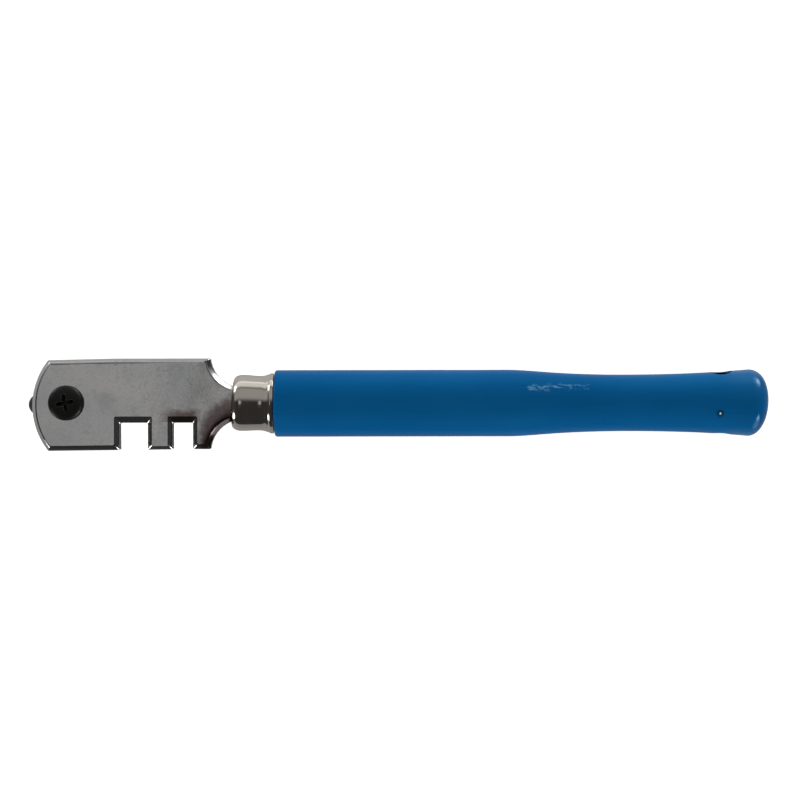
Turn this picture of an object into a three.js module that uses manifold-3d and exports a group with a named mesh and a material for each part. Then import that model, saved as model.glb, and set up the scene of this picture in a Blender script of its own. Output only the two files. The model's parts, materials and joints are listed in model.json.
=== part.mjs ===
// Six-wheel glass cutter: a slotted cast head on a painted wooden handle, with a turret
// of small cutting wheels clamped between the two cheeks of the head by one screw.
//
// Frame, in millimetres: +X runs from the wheels to the knob along the tool's axis, +Y
// points to the straight edge of the head (the notches are on the -Y side), and +Z comes
// out of the side that carries the screw head. The tool lies on z = 0, and the origin is
// below the middle of its length.
//
// Every piece is drawn about the tool's axis at z = 0 and the whole group is then lifted.

import * as THREE from 'three';
import { mergeVertices } from 'three/addons/utils/BufferGeometryUtils.js';
import Module from 'manifold-3d';

const wasm = await Module();
wasm.setup();

// ---------------------------------------------------------------- driving dimensions

const TOTAL_LENGTH = 130;
const KNOB_END_X = TOTAL_LENGTH / 2;
const WHEEL_TIP_X = -TOTAL_LENGTH / 2;

// Handle, turned from wood
const GRIP_RADIUS = 5.88;
const GRIP_START_X = -21.7;
const GRIP_END_X = 18.7;
const GRIP_EDGE_RADIUS = 0.5;
const WAIST_RADIUS = 4.99;
const WAIST_X = 39.8;
const KNOB_RADIUS = 5.85;
const KNOB_WIDEST_X = 61.4;
const KNOB_SLOPE = 0.08; // how fast the radius still grows towards the widest point
// How far the curves of the outline run on before they bend
const GRIP_RUN = 5;
const WAIST_RUN_FRONT = 12.3;
const WAIST_RUN_REAR = 9;
const KNOB_RUN_FRONT = 7;
const KNOB_RUN_REAR = 2.2;
const KNOB_END_FULLNESS = 0.62; // as a share of the knob's radius
const HANG_HOLE_RADIUS = 1.7;
const HANG_HOLE_X = 56.65;
const HANG_HOLE_TILT = THREE.MathUtils.degToRad(7);

// Spigot of the handle inside the ferrule, and the bore for the tang
const SPIGOT_RADIUS = 4.35;
const SPIGOT_FRONT_X = -26.9;
const TANG_BORE_RADIUS = 2.3;
const TANG_BORE_END_X = 6;

// Ferrule, a pressed cup
const FERRULE_FRONT_X = -29.2;
const FERRULE_REAR_X = -21.8;
const FERRULE_MOUTH_RADIUS = 3.75;
const FERRULE_BEAD_RADIUS = 4.96;
const FERRULE_BEAD_X = -27.6;
const FERRULE_WAIST_RADIUS = 4.81;
const FERRULE_WAIST_X = -25.4;
const FERRULE_FLARE_X = -23.7;
const FERRULE_FLARE_RADIUS = 5.3;
const FERRULE_WALL = 0.4;

// Head, a plated casting: slotted plate, breaking notches, neck and tang
const HEAD_FRONT_X = -64.05;
const HEAD_FRONT_ARC_RADIUS = 12.75;
const HEAD_FRONT_CENTRE_Y = -0.3; // the front sits slightly low on the tool's axis
const HEAD_FRONT_HALF_HEIGHT = 7.95;
const HEAD_TOP_Y = 7.9;
const HEAD_REAR_BOTTOM_Y = -7.95;
const HEAD_THICKNESS = 5;
const HEAD_BEVEL = 0.8;
const SLOT_WIDTH = 2.6;
const SLOT_END_X = -49.4;
const NOTCH_TOP_Y = -3.35;
const NOTCHES_X = [[-48.75, -43.85], [-39.45, -35.95]];
const NECK_HALF_HEIGHT = 2.8;
const NECK_END_X = -27.2;
const SHOULDER_X = -32.9;
const TANG_ROOT_WIDTH = 3.1;
const TANG_TIP_WIDTH = 1.8;
const TANG_TIP_X = 4;
const TANG_ROOT_BURIED = 1; // how far the tang starts inside the neck
const SQUARE_SIDES = 4;

// Turret, wheels and their pins
const WHEEL_COUNT = 6;
const WHEEL_RADIUS = 1.85;
const WHEEL_SHOULDER_RADIUS = 1.64; // where the two cutting bevels begin
const WHEEL_THICKNESS = 1;
const WHEEL_BORE_RADIUS = 0.52;
const WHEEL_CIRCLE_RADIUS = 5.18;
const TURRET_TURN = THREE.MathUtils.degToRad(2.9); // how far it stops short of its true setting
const TURRET_X = WHEEL_TIP_X + WHEEL_RADIUS + WHEEL_CIRCLE_RADIUS * Math.cos(TURRET_TURN);
const TURRET_Y = 0.15; // the screw hole is drilled slightly off the tool's axis
const TURRET_RADIUS = 5.95;
const TURRET_THICKNESS = 2.4;
const TURRET_HUB_RADIUS = 3.2;
const TURRET_GROOVE_WIDTH = 1.1;
const PIN_RADIUS = 0.47;
const PIN_HOLE_RADIUS = 0.5;
const PIN_LENGTH = 2.3;

// Turret screw, pan head with a cross recess
const SCREW_SHANK_RADIUS = 1.48;
const SCREW_HOLE_RADIUS = 1.55;
const SCREW_HEAD_RADIUS = 3.05;
const SCREW_HEAD_HEIGHT = 1.6;
const SCREW_RIM_HEIGHT = 0.7;
const SCREW_CROWN_DROP = 0.2; // how far below the top the crown's curve turns in
const SCREW_CROWN_WIDTH = 0.6; // how wide the crown stays nearly flat, as a share of the head
const SCREW_SEAT_GAP = 0.05;
const SCREW_TIP_RECESS = 0.1;
const SCREW_TIP_CHAMFER = 0.3;
const RECESS_SPAN = 3.3;
const RECESS_WIDTH = 0.75;
const RECESS_DEPTH = 1.2;
const RECESS_TAPER = 0.45; // size of the recess at its floor, as a share of its mouth
const RECESS_TURN = THREE.MathUtils.degToRad(12);

// A cut of this length passes right through any piece, and it starts this far outside
const THROUGH = 40;
const CUT_MARGIN = 1;

// Facets round the turned pieces
const HANDLE_SEGMENTS = 48;
const FERRULE_SEGMENTS = 40;
const TURRET_SEGMENTS = 36;
const SCREW_SEGMENTS = 32;
const WHEEL_SEGMENTS = 24;
const PIN_SEGMENTS = 12;
const HANG_HOLE_SEGMENTS = 24;
const ARC_DIVISIONS = 6;

// ---------------------------------------------------------------- materials

const platedCasting = new THREE.MeshStandardMaterial({ color: 0x8f8f8e, roughness: 0.38, metalness: 1 });
const brightNickel = new THREE.MeshStandardMaterial({ color: 0xb3aca0, roughness: 0.22, metalness: 1 });
const hardSteel = new THREE.MeshStandardMaterial({ color: 0x6f6d6a, roughness: 0.35, metalness: 1 });
const blackOxide = new THREE.MeshStandardMaterial({ color: 0x161614, roughness: 0.5, metalness: 0.6 });
const bluePaint = new THREE.MeshStandardMaterial({ color: 0x11508a, roughness: 0.3, metalness: 0 });

// ---------------------------------------------------------------- solids and cuts

// Turns a closed geometry into a solid that can be cut and joined.
function toSolid(geometry) {
  const bare = geometry.clone();
  bare.deleteAttribute('normal');
  bare.deleteAttribute('uv');
  const merged = mergeVertices(bare);
  const triangles = [];
  const index = merged.index.array;
  for (let i = 0; i < index.length; i += 3) {
    const [a, b, c] = [index[i], index[i + 1], index[i + 2]];
    const flattened = a === b || b === c || c === a;
    if (!flattened) triangles.push(a, b, c);
  }
  return new wasm.Manifold(new wasm.Mesh({
    numProp: 3,
    vertProperties: new Float32Array(merged.attributes.position.array),
    triVerts: new Uint32Array(triangles),
  }));
}

function toGeometry(solid) {
  const mesh = solid.getMesh();
  const geometry = new THREE.BufferGeometry();
  geometry.setAttribute('position', new THREE.BufferAttribute(mesh.vertProperties, 3));
  geometry.setIndex(new THREE.BufferAttribute(mesh.triVerts, 1));
  return geometry;
}

// Turned shapes: profile points are (radius, distance along the axis), with the outside
// of the profile drawn towards the positive end of the axis.
function turnedAboutX(profile, segments) {
  return new THREE.LatheGeometry(profile, segments).rotateZ(-Math.PI / 2);
}

function turnedAboutZ(profile, segments) {
  return new THREE.LatheGeometry(profile, segments).rotateX(Math.PI / 2);
}

// A ring's profile ends where it began.
function closedProfile(points) {
  return [...points, points[0]].map(([radius, along]) => new THREE.Vector2(radius, along));
}

function rodAboutZ(radius, length, segments) {
  return new THREE.CylinderGeometry(radius, radius, length, segments).rotateX(Math.PI / 2);
}

// ---------------------------------------------------------------- head

// Radius of the arc that falls from a shoulder of this height to the end of the neck, where
// it runs level.
function shoulderArcRadius(shoulderHeight) {
  const reach = NECK_END_X - SHOULDER_X;
  const fall = shoulderHeight - NECK_HALF_HEIGHT;
  return (reach ** 2 + fall ** 2) / (2 * fall);
}

// Outline of the casting, counter-clockwise from the lower front corner. The lower edge
// rises a little from the front corner to the claw, and the upper edge rises over the slot.
function headOutline() {
  const arcCentreX = HEAD_FRONT_X + HEAD_FRONT_ARC_RADIUS;
  const arcHalfAngle = Math.asin(HEAD_FRONT_HALF_HEIGHT / HEAD_FRONT_ARC_RADIUS);
  const cornerX = arcCentreX - HEAD_FRONT_ARC_RADIUS * Math.cos(arcHalfAngle);
  const frontTopY = HEAD_FRONT_CENTRE_Y + HEAD_FRONT_HALF_HEIGHT;
  const frontBottomY = HEAD_FRONT_CENTRE_Y - HEAD_FRONT_HALF_HEIGHT;
  const bottomY = (x) => THREE.MathUtils.mapLinear(x, cornerX, SHOULDER_X, frontBottomY, HEAD_REAR_BOTTOM_Y);
  const upperRadius = shoulderArcRadius(HEAD_TOP_Y);
  const lowerRadius = shoulderArcRadius(-HEAD_REAR_BOTTOM_Y);
  const upperCentreY = NECK_HALF_HEIGHT + upperRadius;
  const lowerCentreY = -NECK_HALF_HEIGHT - lowerRadius;
  const upperCornerAngle = Math.atan2(HEAD_TOP_Y - upperCentreY, SHOULDER_X - NECK_END_X);
  const lowerCornerAngle = Math.atan2(HEAD_REAR_BOTTOM_Y - lowerCentreY, SHOULDER_X - NECK_END_X);
  const outline = new THREE.Shape();
  outline.moveTo(cornerX, frontBottomY);
  for (const [nearX, farX] of NOTCHES_X) {
    outline.lineTo(nearX, bottomY(nearX));
    outline.lineTo(nearX, NOTCH_TOP_Y);
    outline.lineTo(farX, NOTCH_TOP_Y);
    outline.lineTo(farX, bottomY(farX));
  }
  outline.lineTo(SHOULDER_X, HEAD_REAR_BOTTOM_Y);
  outline.absarc(NECK_END_X, lowerCentreY, lowerRadius, lowerCornerAngle, Math.PI / 2, true);
  outline.lineTo(NECK_END_X, NECK_HALF_HEIGHT);
  outline.absarc(NECK_END_X, upperCentreY, upperRadius, -Math.PI / 2, upperCornerAngle, true);
  outline.lineTo(SLOT_END_X, HEAD_TOP_Y);
  outline.lineTo(cornerX, frontTopY);
  outline.absarc(
    arcCentreX, HEAD_FRONT_CENTRE_Y, HEAD_FRONT_ARC_RADIUS,
    Math.PI - arcHalfAngle, Math.PI + arcHalfAngle, false,
  );
  return outline;
}

function headPlate() {
  const plate = new THREE.ExtrudeGeometry(headOutline(), {
    depth: HEAD_THICKNESS - 2 * HEAD_BEVEL,
    curveSegments: 2 * ARC_DIVISIONS,
    bevelEnabled: true,
    bevelThickness: HEAD_BEVEL,
    bevelSize: HEAD_BEVEL,
    bevelOffset: -HEAD_BEVEL,
    bevelSegments: 1,
  });
  return plate.translate(0, 0, HEAD_BEVEL - HEAD_THICKNESS / 2);
}

// Square spike that tapers into the handle, its root buried in the neck.
function tang() {
  const rootX = NECK_END_X - TANG_ROOT_BURIED;
  const length = TANG_TIP_X - rootX;
  const [tipReach, rootReach] = [TANG_TIP_WIDTH, TANG_ROOT_WIDTH].map((width) => width / Math.SQRT2);
  const spike = new THREE.CylinderGeometry(tipReach, rootReach, length, SQUARE_SIDES);
  spike.rotateY(Math.PI / 4);
  spike.rotateZ(-Math.PI / 2);
  return spike.translate(rootX + length / 2, 0, 0);
}

// The slot runs in from the front and is open along both long edges.
function turretSlot() {
  const frontX = WHEEL_TIP_X - CUT_MARGIN;
  const slot = new THREE.BoxGeometry(SLOT_END_X - frontX, THROUGH, SLOT_WIDTH);
  return slot.translate((SLOT_END_X + frontX) / 2, 0, 0);
}

function screwHole() {
  return rodAboutZ(SCREW_HOLE_RADIUS, THROUGH, SCREW_SEGMENTS).translate(TURRET_X, TURRET_Y, 0);
}

function headGeometry() {
  const casting = toSolid(headPlate()).add(toSolid(tang()));
  return toGeometry(casting.subtract(toSolid(turretSlot())).subtract(toSolid(screwHole())));
}

// ---------------------------------------------------------------- turret, wheels and pins

// Places of the wheels round the turret; the first one points ahead.
function wheelPlaces() {
  return Array.from({ length: WHEEL_COUNT }, (_, i) => {
    const angle = Math.PI + TURRET_TURN + (i * 2 * Math.PI) / WHEEL_COUNT;
    return new THREE.Vector3(Math.cos(angle), Math.sin(angle), 0).multiplyScalar(WHEEL_CIRCLE_RADIUS);
  });
}

// A spool: two flanges on a hub, drilled for the pins.
function turretGeometry() {
  const halfThickness = TURRET_THICKNESS / 2;
  const halfGroove = TURRET_GROOVE_WIDTH / 2;
  let spool = toSolid(turnedAboutZ(closedProfile([
    [SCREW_HOLE_RADIUS, -halfThickness],
    [TURRET_RADIUS, -halfThickness],
    [TURRET_RADIUS, -halfGroove],
    [TURRET_HUB_RADIUS, -halfGroove],
    [TURRET_HUB_RADIUS, halfGroove],
    [TURRET_RADIUS, halfGroove],
    [TURRET_RADIUS, halfThickness],
    [SCREW_HOLE_RADIUS, halfThickness],
  ]), TURRET_SEGMENTS));
  for (const place of wheelPlaces()) {
    const drill = rodAboutZ(PIN_HOLE_RADIUS, THROUGH, PIN_SEGMENTS);
    spool = spool.subtract(toSolid(drill.translate(place.x, place.y, 0)));
  }
  return toGeometry(spool);
}

function wheelGeometry() {
  const half = WHEEL_THICKNESS / 2;
  return toGeometry(toSolid(turnedAboutZ(closedProfile([
    [WHEEL_BORE_RADIUS, -half],
    [WHEEL_SHOULDER_RADIUS, -half],
    [WHEEL_RADIUS, 0],
    [WHEEL_SHOULDER_RADIUS, half],
    [WHEEL_BORE_RADIUS, half],
  ]), WHEEL_SEGMENTS)));
}

// ---------------------------------------------------------------- screw

// Cross recess: two blades that narrow towards the floor.
function crossRecess(topZ) {
  const blades = [RECESS_TURN, RECESS_TURN + Math.PI / 2].map((turn) => {
    const blade = new THREE.BoxGeometry(RECESS_SPAN, RECESS_WIDTH, 2 * RECESS_DEPTH);
    const corners = blade.attributes.position;
    for (let i = 0; i < corners.count; i += 1) {
      const share = corners.getZ(i) < 0 ? RECESS_TAPER : 2 - RECESS_TAPER;
      corners.setXY(i, corners.getX(i) * share, corners.getY(i) * share);
    }
    return toSolid(blade.rotateZ(turn).translate(0, 0, topZ));
  });
  return blades[0].add(blades[1]);
}

function screwGeometry() {
  const seatZ = HEAD_THICKNESS / 2 + SCREW_SEAT_GAP;
  const tipZ = -HEAD_THICKNESS / 2 + SCREW_TIP_RECESS;
  const topZ = seatZ + SCREW_HEAD_HEIGHT;
  const outline = new THREE.Path();
  outline.moveTo(0, tipZ);
  outline.lineTo(SCREW_SHANK_RADIUS - SCREW_TIP_CHAMFER, tipZ);
  outline.lineTo(SCREW_SHANK_RADIUS, tipZ + SCREW_TIP_CHAMFER);
  outline.lineTo(SCREW_SHANK_RADIUS, seatZ);
  outline.lineTo(SCREW_HEAD_RADIUS, seatZ);
  outline.lineTo(SCREW_HEAD_RADIUS, seatZ + SCREW_RIM_HEIGHT);
  outline.bezierCurveTo(
    SCREW_HEAD_RADIUS, topZ - SCREW_CROWN_DROP,
    SCREW_CROWN_WIDTH * SCREW_HEAD_RADIUS, topZ,
    0, topZ,
  );
  const turned = toSolid(turnedAboutZ(outline.getPoints(ARC_DIVISIONS), SCREW_SEGMENTS));
  return toGeometry(turned.subtract(crossRecess(topZ)));
}

// ---------------------------------------------------------------- ferrule and handle

// Outside of the cup from its mouth to its flared rear edge, then the inside back again.
function ferruleGeometry() {
  const outside = new THREE.Path();
  outside.moveTo(FERRULE_MOUTH_RADIUS, FERRULE_FRONT_X);
  outside.lineTo(FERRULE_MOUTH_RADIUS + FERRULE_WALL, FERRULE_FRONT_X);
  outside.quadraticCurveTo(FERRULE_BEAD_RADIUS, FERRULE_FRONT_X, FERRULE_BEAD_RADIUS, FERRULE_BEAD_X);
  outside.bezierCurveTo(
    FERRULE_BEAD_RADIUS, FERRULE_WAIST_X,
    FERRULE_WAIST_RADIUS, FERRULE_BEAD_X,
    FERRULE_WAIST_RADIUS, FERRULE_WAIST_X,
  );
  outside.bezierCurveTo(
    FERRULE_WAIST_RADIUS, FERRULE_FLARE_X,
    FERRULE_FLARE_RADIUS, FERRULE_FLARE_X,
    FERRULE_FLARE_RADIUS, FERRULE_REAR_X,
  );
  const skin = outside.getPoints(ARC_DIVISIONS / 2);
  const lining = skin.slice(1).reverse().map((point, i) => {
    const along = i === 0 ? FERRULE_REAR_X : Math.max(point.y, FERRULE_FRONT_X + FERRULE_WALL);
    return new THREE.Vector2(Math.max(point.x - FERRULE_WALL, FERRULE_MOUTH_RADIUS), along);
  });
  return toGeometry(toSolid(turnedAboutX([...skin, ...lining, skin[0]], FERRULE_SEGMENTS)));
}

// From the bottom of the tang bore, out over the spigot and along the grip to the knob.
function handleProfile() {
  const outline = new THREE.Path();
  outline.moveTo(0, TANG_BORE_END_X);
  outline.lineTo(TANG_BORE_RADIUS, TANG_BORE_END_X);
  outline.lineTo(TANG_BORE_RADIUS, SPIGOT_FRONT_X);
  outline.lineTo(SPIGOT_RADIUS, SPIGOT_FRONT_X);
  outline.lineTo(SPIGOT_RADIUS, GRIP_START_X);
  outline.lineTo(GRIP_RADIUS - GRIP_EDGE_RADIUS, GRIP_START_X);
  outline.quadraticCurveTo(GRIP_RADIUS, GRIP_START_X, GRIP_RADIUS, GRIP_START_X + GRIP_EDGE_RADIUS);
  outline.lineTo(GRIP_RADIUS, GRIP_END_X);
  outline.bezierCurveTo(
    GRIP_RADIUS, GRIP_END_X + GRIP_RUN,
    WAIST_RADIUS, WAIST_X - WAIST_RUN_FRONT,
    WAIST_RADIUS, WAIST_X,
  );
  outline.bezierCurveTo(
    WAIST_RADIUS, WAIST_X + WAIST_RUN_REAR,
    KNOB_RADIUS - KNOB_RUN_FRONT * KNOB_SLOPE, KNOB_WIDEST_X - KNOB_RUN_FRONT,
    KNOB_RADIUS, KNOB_WIDEST_X,
  );
  outline.bezierCurveTo(
    KNOB_RADIUS, KNOB_WIDEST_X + KNOB_RUN_REAR,
    KNOB_END_FULLNESS * KNOB_RADIUS, KNOB_END_X,
    0, KNOB_END_X,
  );
  return outline.getPoints(ARC_DIVISIONS);
}

function hangHole() {
  const drill = new THREE.CylinderGeometry(HANG_HOLE_RADIUS, HANG_HOLE_RADIUS, THROUGH, HANG_HOLE_SEGMENTS);
  return drill.rotateX(HANG_HOLE_TILT).translate(HANG_HOLE_X, 0, 0);
}

function handleGeometry() {
  const turned = toSolid(turnedAboutX(handleProfile(), HANDLE_SEGMENTS));
  return toGeometry(turned.subtract(toSolid(hangHole())));
}

// ---------------------------------------------------------------- assembly

function piece(name, geometry, material) {
  const mesh = new THREE.Mesh(geometry, material);
  mesh.name = name;
  return mesh;
}

function turretAssembly() {
  const assembly = new THREE.Group();
  assembly.add(piece('turret', turretGeometry(), hardSteel));
  const wheel = wheelGeometry();
  const pin = rodAboutZ(PIN_RADIUS, PIN_LENGTH, PIN_SEGMENTS);
  wheelPlaces().forEach((place, i) => {
    const station = new THREE.Group();
    station.position.copy(place);
    station.add(piece(`cutting_wheel_${i + 1}`, wheel, hardSteel));
    station.add(piece(`wheel_pin_${i + 1}`, pin, hardSteel));
    assembly.add(station);
  });
  assembly.add(piece('turret_screw', screwGeometry(), blackOxide));
  assembly.position.set(TURRET_X, TURRET_Y, 0);
  return assembly;
}

const glassCutter = new THREE.Group();
glassCutter.add(piece('head', headGeometry(), platedCasting));
glassCutter.add(turretAssembly());
glassCutter.add(piece('ferrule', ferruleGeometry(), brightNickel));
glassCutter.add(piece('handle', handleGeometry(), bluePaint));
glassCutter.position.z = GRIP_RADIUS;

export default glassCutter;
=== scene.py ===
"""Looks of a six-wheel glass cutter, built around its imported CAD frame.

Frame, in metres: +X runs from the wheels to the knob along the tool's axis, +Y points to
the straight edge of the head, and +Z comes out of the face that carries the screw head.
The tool lies on z = 0.
"""

import json
import math

import bmesh
import bpy
from mathutils import Matrix, Vector, geometry, noise


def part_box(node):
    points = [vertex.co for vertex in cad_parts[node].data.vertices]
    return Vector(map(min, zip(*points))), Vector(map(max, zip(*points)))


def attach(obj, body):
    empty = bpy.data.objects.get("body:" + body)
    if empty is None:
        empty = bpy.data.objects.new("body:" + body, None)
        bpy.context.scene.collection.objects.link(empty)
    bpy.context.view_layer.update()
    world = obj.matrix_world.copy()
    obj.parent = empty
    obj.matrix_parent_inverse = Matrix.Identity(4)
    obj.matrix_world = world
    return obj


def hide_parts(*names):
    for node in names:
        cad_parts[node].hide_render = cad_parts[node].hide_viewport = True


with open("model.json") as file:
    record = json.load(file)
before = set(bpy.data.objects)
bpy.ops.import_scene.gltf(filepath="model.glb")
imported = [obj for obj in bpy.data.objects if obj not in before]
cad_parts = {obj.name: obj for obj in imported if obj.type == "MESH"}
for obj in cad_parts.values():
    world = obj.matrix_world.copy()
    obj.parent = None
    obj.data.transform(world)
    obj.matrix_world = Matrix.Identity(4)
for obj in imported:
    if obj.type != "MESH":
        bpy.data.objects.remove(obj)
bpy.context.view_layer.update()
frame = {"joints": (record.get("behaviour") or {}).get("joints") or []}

MM = 0.001
JOINT_PLACES = {joint["name"]: Vector(joint["pos_m"]) for joint in frame["joints"]}
WHEEL_COUNT = 6


# ---------------- sizes

HEAD_LOW, HEAD_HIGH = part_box("head")
HANDLE_LOW, HANDLE_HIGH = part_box("handle")
FERRULE_LOW, FERRULE_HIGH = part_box("ferrule")
TURRET_LOW, TURRET_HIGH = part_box("turret")
SCREW_LOW, SCREW_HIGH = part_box("turret_screw")
WHEEL_LOW, WHEEL_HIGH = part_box("cutting_wheel_1")
PIN_LOW, PIN_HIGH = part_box("wheel_pin_1")

TURRET_CENTRE = JOINT_PLACES["turret_index"]
AXIS_Z = TURRET_CENTRE.z
WHEEL_PLACES = [JOINT_PLACES[f"wheel_spin_{i + 1}"] for i in range(WHEEL_COUNT)]

# Head, in the plane of the plate
PLATE_HALF = (HEAD_HIGH.z - HEAD_LOW.z) / 2
PLATE_FRONT_X = HEAD_LOW.x
PLATE_TOP_Y = HEAD_HIGH.y
PLATE_BOTTOM_Y = HEAD_LOW.y
FRONT_ARC_RADIUS = 12.75 * MM
FRONT_HALF_HEIGHT = 7.95 * MM
REAR_BOTTOM_Y = -7.95 * MM
NOTCH_TOP_Y = -3.35 * MM
NOTCHES_X = [(-48.75 * MM, -43.85 * MM), (-39.45 * MM, -35.95 * MM)]
SHOULDER_X = -32.9 * MM
NECK_HALF = 2.8 * MM
NECK_END_X = -27.2 * MM
SLOT_END_X = -49.4 * MM
SLOT_HALF = 1.3 * MM
TANG_ROOT_HALF = 1.55 * MM
TANG_TIP_HALF = 0.9 * MM
BEVEL = 0.74 * MM
TOP_BEVEL = 0.58 * MM
NOTCH_TOP_BEVEL = 0.98 * MM
BEVEL_DEPTH = 0.8 * MM
EDGE_EASE = 0.1 * MM
CORNER_RADIUS = 0.32 * MM

# Turret, wheels, pins and screw
TURRET_RADIUS = (TURRET_HIGH.y - TURRET_LOW.y) / 2
TURRET_HALF = (TURRET_HIGH.z - TURRET_LOW.z) / 2
TURRET_HUB_RADIUS = 3.2 * MM
GROOVE_HALF = 0.55 * MM
SCREW_HOLE_RADIUS = 1.55 * MM
WHEEL_RADIUS = (WHEEL_HIGH.y - WHEEL_LOW.y) / 2
WHEEL_HALF = (WHEEL_HIGH.z - WHEEL_LOW.z) / 2
WHEEL_SHOULDER_RADIUS = 1.64 * MM
WHEEL_BORE_RADIUS = 0.52 * MM
PIN_RADIUS = (PIN_HIGH.y - PIN_LOW.y) / 2
PIN_HALF = (PIN_HIGH.z - PIN_LOW.z) / 2
SCREW_HEAD_RADIUS = (SCREW_HIGH.y - SCREW_LOW.y) / 2
SCREW_SHANK_RADIUS = 1.48 * MM
SCREW_HEAD_HEIGHT = 1.6 * MM
SCREW_RIM_HEIGHT = 0.7 * MM
THREAD_PITCH = 0.5 * MM
THREAD_DEPTH = 0.24 * MM
RECESS_SPAN = 3.3 * MM
RECESS_WIDTH = 0.75 * MM
RECESS_DEPTH = 1.2 * MM
RECESS_TAPER = 0.45
RECESS_TURN = math.radians(12)

# Ferrule and handle
FERRULE_WALL = 0.4 * MM
FERRULE_MOUTH_RADIUS = 3.75 * MM
FERRULE_BEAD_RADIUS = 4.93 * MM
FERRULE_BEAD_X = -27.6 * MM
FERRULE_WAIST_RADIUS = 4.81 * MM
FERRULE_WAIST_X = -24.3 * MM
FERRULE_FLARE_X = -23.35 * MM
FERRULE_SKEW = math.tan(math.radians(2.8))
FERRULE_LIFT = 0.15 * MM
GRIP_RADIUS = HANDLE_HIGH.y
GRIP_START_X = -21.7 * MM
GRIP_END_X = 18.7 * MM
GRIP_EDGE_RADIUS = 0.5 * MM
SPIGOT_RADIUS = 4.35 * MM
TANG_BORE_RADIUS = 2.3 * MM
TANG_BORE_END_X = 6 * MM
WAIST_RADIUS = 4.99 * MM
WAIST_X = 39.8 * MM
KNOB_RADIUS = 5.85 * MM
KNOB_WIDEST_X = 61.4 * MM
KNOB_SLOPE = 0.08
HANG_HOLE_RADIUS = 1.7 * MM
HANG_HOLE_X = 56.65 * MM
HANG_HOLE_TILT = math.radians(7)
NIB_X = 55.7 * MM
NIB_Y = -1.85 * MM


def shoulder_radius(height):
    """Radius of the arc from a shoulder's corner that ends level at the neck's end."""
    reach, fall = NECK_END_X - SHOULDER_X, height - NECK_HALF
    return (reach ** 2 + fall ** 2) / (2 * fall)


# The claw behind the teeth is the lower shoulder's arc
CLAW_RADIUS = shoulder_radius(-REAR_BOTTOM_Y)
CLAW_CENTRE = Vector((NECK_END_X, -NECK_HALF - CLAW_RADIUS))


# ---------------- node helpers

class Nodes:
    """Short calls that add nodes to a tree and link them."""

    def __init__(self, tree):
        self.nodes = tree.nodes
        self.links = tree.links

    def node(self, kind, **settings):
        made = self.nodes.new("ShaderNode" + kind)
        for key, value in settings.items():
            setattr(made, key, value)
        return made

    def feed(self, source, socket):
        """Links source to socket, or sets the socket if source is a plain value."""
        if isinstance(source, bpy.types.NodeSocket):
            self.links.new(source, socket)
        else:
            socket.default_value = source

    def span(self, value, low, high, out_low=0.0, out_high=1.0, kind="LINEAR"):
        """value from low to high, spread over out_low to out_high and clamped."""
        remap = self.node("MapRange", interpolation_type=kind)
        self.feed(value, remap.inputs["Value"])
        ends = {"From Min": low, "From Max": high, "To Min": out_low, "To Max": out_high}
        for socket, number in ends.items():
            remap.inputs[socket].default_value = number
        return remap.outputs["Result"]

    def ramp(self, value, low, high):
        """A smooth step from 0 at low to 1 at high, which may be below low."""
        if high < low:
            return self.span(value, high, low, 1.0, 0.0, "SMOOTHSTEP")
        return self.span(value, low, high, 0.0, 1.0, "SMOOTHSTEP")

    def math(self, operation, a, b=0.0):
        made = self.node("Math", operation=operation)
        self.feed(a, made.inputs[0])
        self.feed(b, made.inputs[1])
        return made.outputs["Value"]

    def vector(self, operation, a, b=(0, 0, 0)):
        made = self.node("VectorMath", operation=operation)
        self.feed(a, made.inputs[0])
        self.feed(b, made.inputs[1])
        return made.outputs["Value" if operation in ("DOT_PRODUCT", "LENGTH") else "Vector"]

    def parts(self, vector):
        """The X, Y and Z of a vector."""
        made = self.node("SeparateXYZ")
        self.feed(vector, made.inputs[0])
        return tuple(made.outputs)

    def product(self, *factors):
        total = factors[0]
        for factor in factors[1:]:
            total = self.math("MULTIPLY", total, factor)
        return total

    def blend(self, share, first, second):
        """A colour between first and second."""
        mix = self.node("Mix", data_type="RGBA")
        self.feed(share, mix.inputs[0])
        self.feed(first, mix.inputs[6])
        self.feed(second, mix.inputs[7])
        return mix.outputs[2]

    def band(self, value, start, full, fading, end):
        """1 from full to fading, 0 before start and after end."""
        return self.product(self.ramp(value, start, full), self.ramp(value, end, fading))


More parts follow.
